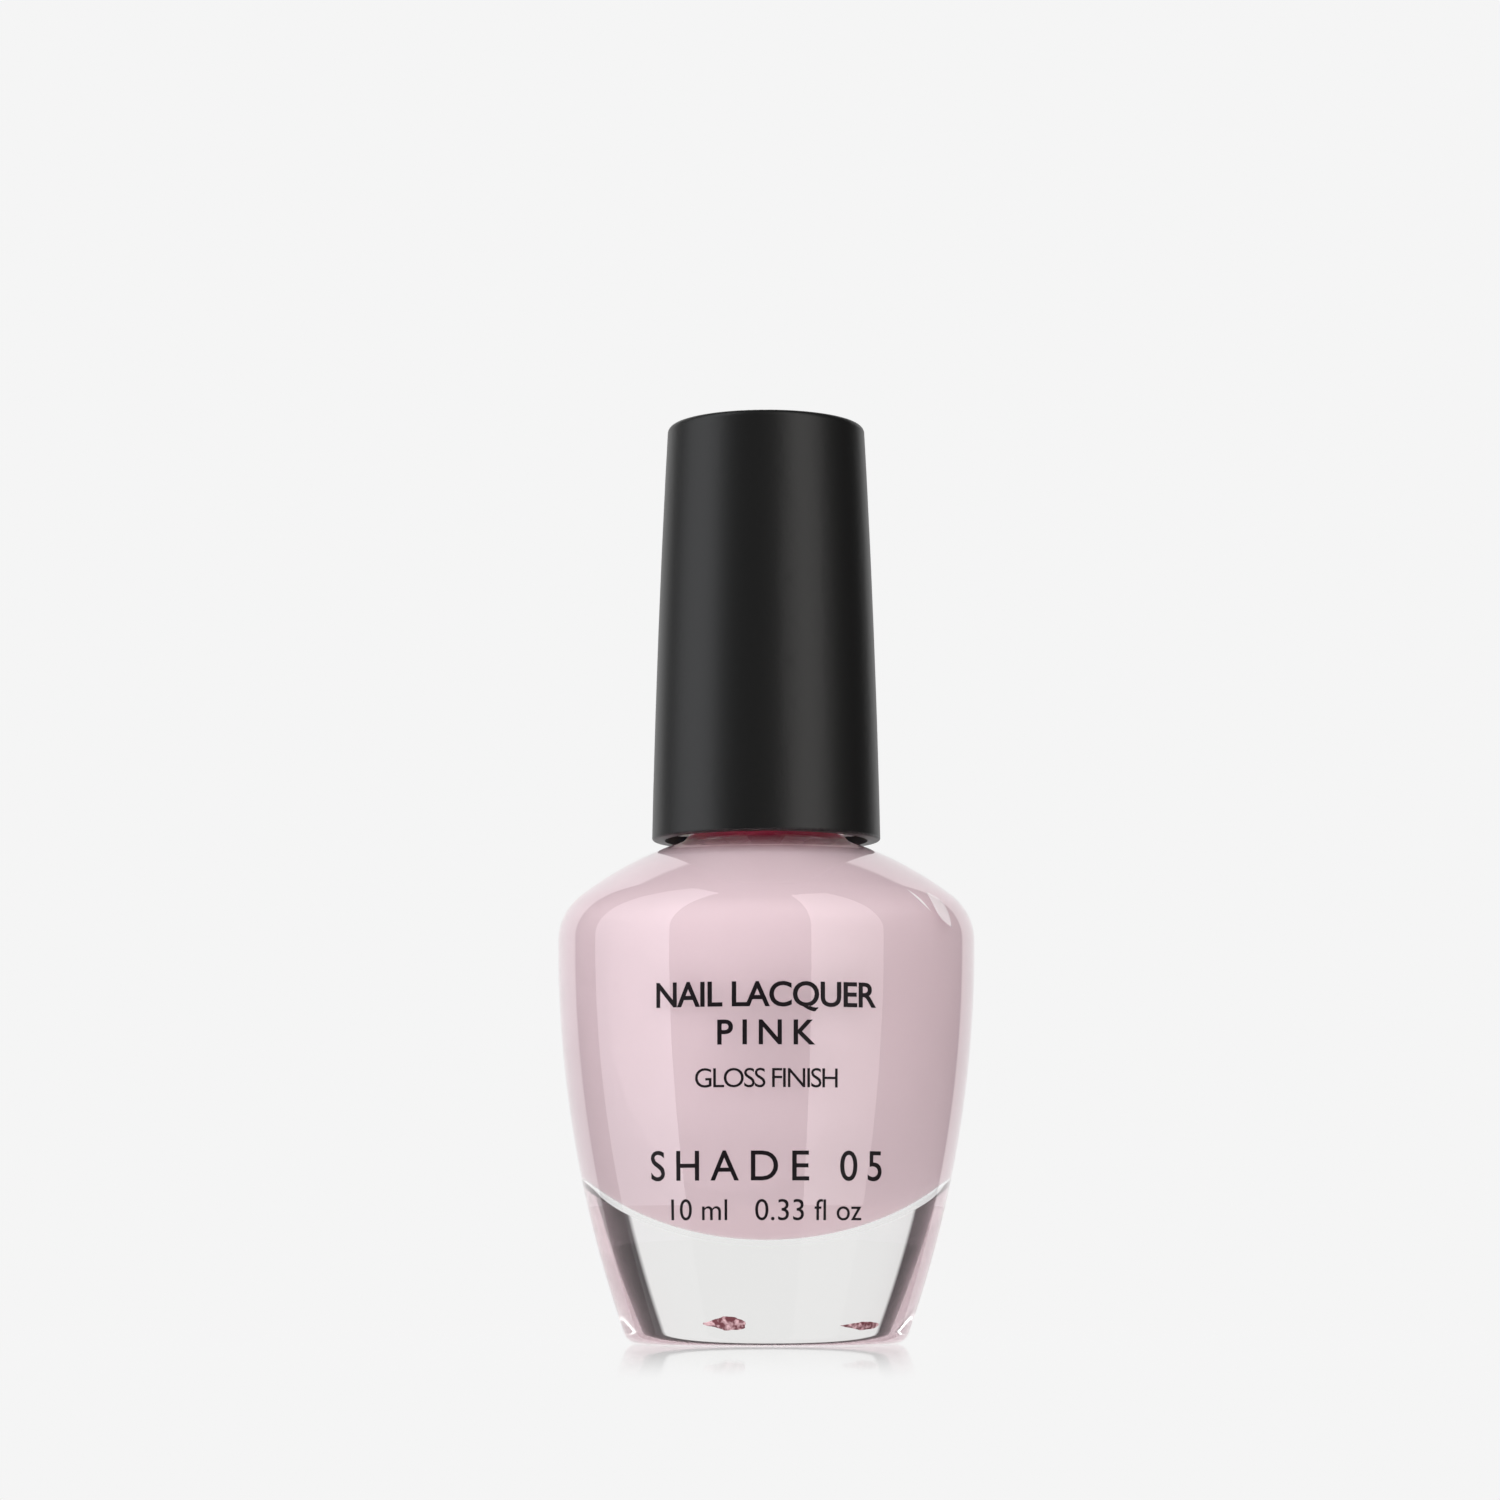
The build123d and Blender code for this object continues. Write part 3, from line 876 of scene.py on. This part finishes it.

# %% [markdown]
# ## Inside the cap
#
# These pieces show when the cap is off. The inner cap that carries the thread is
# natural polypropylene, slightly milky, and the liner is white foam, drawn evenly
# without the little colour it takes up where the neck presses on it. The stem is
# glossy black polyethylene. It stands in the lacquer, so up to the lacquer's level
# it comes out coated: the coat ends in a wavy line, where it has run.

# %% Cap and contents materials


def milky(tree, shader):
    """Uneven milkiness of unpigmented moulded plastic, with its fine flow marks."""
    place = add(tree, "ShaderNodeTexCoord")
    cloud = add(tree, "ShaderNodeTexNoise", {"Scale": 1 / (2.5 * MM), "Detail": 3.0},
                Vector=place.outputs["Object"])
    tone = add(tree, "ShaderNodeMixRGB", {"Color1": linear("E4E3DE"), "Color2": linear("F1F0EC")},
               Fac=cloud.outputs["Fac"])
    tree.links.new(tone.outputs["Color"], shader.inputs["Base Color"])
    fine_grain(0.3, 0.15)(tree, shader)


def foam(tree, shader):
    """Closed-cell foam: small round cells that dent the skin."""
    place = add(tree, "ShaderNodeTexCoord")
    cells = add(tree, "ShaderNodeTexVoronoi", {"Scale": 1 / (0.25 * MM)}, Vector=place.outputs["Object"])
    bump = add(tree, "ShaderNodeBump", {"Strength": 0.5, "Distance": 0.03 * MM},
               Height=cells.outputs["Distance"])
    tree.links.new(bump.outputs["Normal"], shader.inputs["Normal"])


def dipped(level_mm, dry, wet):
    """Colours a shader as lacquer below a level and as its own plastic above it."""
    def build(tree, shader):
        place = add(tree, "ShaderNodeTexCoord")
        height = add(tree, "ShaderNodeSeparateXYZ", Vector=place.outputs["Object"])
        runs = add(tree, "ShaderNodeTexNoise", {"Scale": 1 / (1.2 * MM), "Detail": 1.0},
                   Vector=place.outputs["Object"])
        waves = add(tree, "ShaderNodeMath", {"operation": "MULTIPLY_ADD", 1: 1.4 * MM},
                    _0=runs.outputs["Fac"], _2=height.outputs["Z"])
        share = add(tree, "ShaderNodeMapRange", {
            "From Min": (level_mm + 0.65) * MM, "From Max": (level_mm + 0.75) * MM},
            Value=waves.outputs["Value"])
        tone = add(tree, "ShaderNodeMixRGB", {"Color1": linear(wet), "Color2": linear(dry)},
                   Fac=share.outputs["Result"])
        tree.links.new(tone.outputs["Color"], shader.inputs["Base Color"])
    return build


def brushed_wire(tree, shader):
    """Drawn brass: fine lines along the strip."""
    place = add(tree, "ShaderNodeTexCoord")
    along = add(tree, "ShaderNodeMapping", {"Scale": (1, 30, 30)}, Vector=place.outputs["Object"])
    lines = add(tree, "ShaderNodeTexNoise", {"Scale": 1 / (1.0 * MM)}, Vector=along.outputs["Vector"])
    level = add(tree, "ShaderNodeMapRange", {"To Min": 0.2, "To Max": 0.4}, Value=lines.outputs["Fac"])
    tree.links.new(level.outputs["Result"], shader.inputs["Roughness"])


finish_node("inner_cap", material("natural polypropylene, moulded", {
    "Roughness": 0.38, "Subsurface Weight": 0.2, "Subsurface Scale": 1.5 * MM}, milky))
finish_node("seal_liner", material("polyethylene foam", {
    "Base Color": linear("EFEDE9"), "Roughness": 0.7}, foam))
finish_node("brush_wand", material("black polyethylene, glossy, dipped in lacquer", {
    "Roughness": 0.2}, dipped(lacquer_top - 1.5, "101011", LACQUER_PINK)))
finish_node("tuft_staple", material("drawn brass", {
    "Base Color": linear("C9A45C"), "Metallic": 1.0}, brushed_wire))
ball_steel = material("polished stainless steel", {
    "Base Color": linear("C9C9C7"), "Metallic": 1.0, "Roughness": 0.08}, fine_grain(0.15, 0.08))
finish_node("mixing_ball_a", ball_steel)
finish_node("mixing_ball_b", ball_steel)

# %% [markdown]
# ## Brush
#
# The tuft is some two hundred nylon filaments, held by the staple in the stem's
# hole and fanned out flat towards a rounded tip. Each is a curve of its own: a
# straight line is placed at every point of a sunflower pattern in a unit disc,
# and the whole bundle is then shaped by how far along it each point is. Wet
# lacquer fills the gaps between the filaments and holds them together.

# %% Bristles
tuft_low, tuft_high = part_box("bristle_tuft")
staple_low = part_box("tuft_staple")[0]
stem_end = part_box("brush_wand")[0][2]
TUFT_ROOT_RADIUS = 0.9 * MM
FILAMENT_RADIUS = 0.055 * MM
GOLDEN_ANGLE = 2.39996


def bristle_group():
    tree = bpy.data.node_groups.new("bristles", "GeometryNodeTree")

    def socket(name, kind, value=None):
        made = tree.interface.new_socket(name, in_out="INPUT", socket_type="NodeSocket" + kind)
        if value is not None:
            made.default_value = value

    socket("Count", "Int", 210)
    socket("Seed", "Int", 7)
    socket("Filament Radius", "Float", FILAMENT_RADIUS)
    socket("Root Height", "Float", staple_low[2])
    socket("Tip Height", "Float", tuft_low[2])
    socket("Root Radius", "Float", TUFT_ROOT_RADIUS - FILAMENT_RADIUS)
    socket("Half Width", "Float", tuft_high[0] - FILAMENT_RADIUS)
    socket("Half Thickness", "Float", tuft_high[1] - FILAMENT_RADIUS)
    socket("Stray", "Float", 0.12 * MM)
    socket("Finish", "Material")
    tree.interface.new_socket("Geometry", in_out="OUTPUT", socket_type="NodeSocketGeometry")
    given = add(tree, "NodeGroupInput").outputs

    def math_node(operation, a, b=None):
        node = add(tree, "ShaderNodeMath", {"operation": operation})
        for i, value in enumerate((a, b)):
            if isinstance(value, (int, float)):
                node.inputs[i].default_value = value
            elif value is not None:
                tree.links.new(value, node.inputs[i])
        return node.outputs["Value"]

    # Sunflower pattern: even cover of a disc of radius one.
    index = add(tree, "GeometryNodeInputIndex").outputs["Index"]
    radius = math_node("SQRT", math_node("DIVIDE", math_node("ADD", index, 0.5), given["Count"]))
    angle = math_node("MULTIPLY", index, GOLDEN_ANGLE)
    place = add(tree, "ShaderNodeCombineXYZ", X=math_node("MULTIPLY", radius, math_node("COSINE", angle)),
                Y=math_node("MULTIPLY", radius, math_node("SINE", angle)))
    points = add(tree, "GeometryNodePoints", Count=given["Count"], Position=place.outputs["Vector"])
    line = add(tree, "GeometryNodeCurvePrimitiveLine", {"End": (0, 0, 1)})
    steps = add(tree, "GeometryNodeResampleCurve", {"Count": 14}, Curve=line.outputs["Curve"])
    placed = add(tree, "GeometryNodeInstanceOnPoints", Points=points.outputs["Points"],
                 Instance=steps.outputs["Curve"])
    real = add(tree, "GeometryNodeRealizeInstances", Geometry=placed.outputs["Instances"])

    # Along a filament Z runs from 0 at the root to 1 at the tip.
    here = add(tree, "ShaderNodeSeparateXYZ",
               Vector=add(tree, "GeometryNodeInputPosition").outputs["Position"])
    spread = add(tree, "ShaderNodeMapRange", {
        "interpolation_type": "SMOOTHSTEP", "From Min": 0.15, "From Max": 0.9}, Value=here.outputs["Z"])

    def half_size(full):
        size = add(tree, "ShaderNodeMapRange", Value=spread.outputs["Result"])
        tree.links.new(given["Root Radius"], size.inputs["To Min"])
        tree.links.new(given[full], size.inputs["To Max"])
        return size.outputs["Result"]

    stray = add(tree, "ShaderNodeTexNoise", {"noise_dimensions": "4D", "Scale": 2.5},
                W=given["Seed"], Vector=add(tree, "GeometryNodeInputPosition").outputs["Position"])
    strayed = add(tree, "ShaderNodeSeparateXYZ", Vector=stray.outputs["Color"])
    reach = math_node("MULTIPLY", given["Stray"], here.outputs["Z"])

    def across(axis, full):
        wander = math_node("MULTIPLY", math_node("SUBTRACT", strayed.outputs[axis], 0.5), reach)
        return math_node("ADD", math_node("MULTIPLY", here.outputs[axis], half_size(full)), wander)

    squared = math_node("ADD", math_node("MULTIPLY", here.outputs["X"], here.outputs["X"]),
                        math_node("MULTIPLY", here.outputs["Y"], here.outputs["Y"]))
    # Outer filaments are cut shorter, which rounds the tip.
    length = math_node("MULTIPLY", math_node("SUBTRACT", given["Root Height"], given["Tip Height"]),
                       math_node("SUBTRACT", 1.0, math_node("MULTIPLY", squared, 0.13)))
    drop = math_node("SUBTRACT", given["Root Height"], math_node("MULTIPLY", here.outputs["Z"], length))
    shaped = add(tree, "ShaderNodeCombineXYZ", X=across("X", "Half Width"),
                 Y=across("Y", "Half Thickness"), Z=drop)
    moved = add(tree, "GeometryNodeSetPosition", Geometry=real.outputs["Geometry"],
                Position=shaped.outputs["Vector"])
    profile = add(tree, "GeometryNodeCurvePrimitiveCircle", {"Resolution": 6},
                  Radius=given["Filament Radius"])
    tubes = add(tree, "GeometryNodeCurveToMesh", {"Fill Caps": True}, Curve=moved.outputs["Geometry"],
                Profile_Curve=profile.outputs["Curve"])
    painted = add(tree, "GeometryNodeSetMaterial", Geometry=tubes.outputs["Mesh"],
                  Material=given["Finish"])
    output = add(tree, "NodeGroupOutput")
    tree.links.new(painted.outputs["Geometry"], output.inputs["Geometry"])
    return tree


def wet_nylon(tree, shader):
    """Black nylon with lacquer clinging to it in streaks along the filaments."""
    place = add(tree, "ShaderNodeTexCoord")
    drawn_out = add(tree, "ShaderNodeMapping", {"Scale": (1, 1, 0.12)}, Vector=place.outputs["Object"])
    streaks = add(tree, "ShaderNodeTexNoise", {"Scale": 1 / (0.3 * MM)}, Vector=drawn_out.outputs["Vector"])
    share = add(tree, "ShaderNodeMapRange", {"From Min": 0.5, "From Max": 0.62}, Value=streaks.outputs["Fac"])
    tone = add(tree, "ShaderNodeMixRGB", {"Color1": linear(LACQUER_PINK), "Color2": linear("2A2224")},
               Fac=share.outputs["Result"])
    tree.links.new(tone.outputs["Color"], shader.inputs["Base Color"])


nylon = material("black nylon filament, wet with lacquer", {"Roughness": 0.22}, wet_nylon)
maker = place_object("bristle_maker", bpy.data.meshes.new("bristle_maker"))
modifier = maker.modifiers.new("bristles", "NODES")
modifier.node_group = bristle_group()
for item in modifier.node_group.interface.items_tree:
    if item.in_out == "INPUT" and item.name == "Finish":
        modifier[item.identifier] = nylon
bpy.context.view_layer.update()
bristle_mesh = bpy.data.meshes.new_from_object(maker.evaluated_get(bpy.context.evaluated_depsgraph_get()))
bpy.data.objects.remove(maker)
bristle_mesh.shade_smooth()
bristles = place_object("bristles", bristle_mesh)
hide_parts("bristle_tuft")
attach(bristles, "cap")
print("Bristle faces:", len(bristle_mesh.polygons))

# %% Lacquer held by the brush


def smooth(t):
    t = min(max(t, 0), 1)
    return t * t * (3 - 2 * t)


def held_width(share, full):
    """Half-size of the lacquer in the tuft, a share of the way from root to tip, in mm."""
    root = 0.8 * TUFT_ROOT_RADIUS / MM
    wide = root + (0.9 * full - root) * smooth((share - 0.15) / 0.75)
    tip = max(0, 1 - ((share - 0.8) / 0.2) ** 2) ** 0.5 if share > 0.8 else 1
    return wide * tip


half_width, half_thickness = tuft_high[0] / MM, tuft_high[1] / MM
root_mm, tip_mm = stem_end / MM, tuft_low[2] / MM + 0.35
held_outline = [Vector((0, root_mm))]
held_shares = [i / 40 for i in range(41)]
for share in held_shares:
    width = max(held_width(share, half_width), 1e-7)
    held_outline.append(Vector((width, root_mm + (tip_mm - root_mm) * share)))


def oval(angle, radius, height):
    """Turns a round section into the tuft's oval one."""
    share = (root_mm - height) / (root_mm - tip_mm)
    thick = held_width(share, half_thickness)
    return radius * thick / math.hypot(thick * math.cos(angle), radius * math.sin(angle))


held = spin("held_lacquer", held_outline, 32, oval)
held.data.materials.append(material("cream nail lacquer, wet on the brush", {
    "Base Color": linear(LACQUER_PINK), "Roughness": 0.12, "Coat Weight": 0.6, "Coat Roughness": 0.05}))
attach(held, "cap")
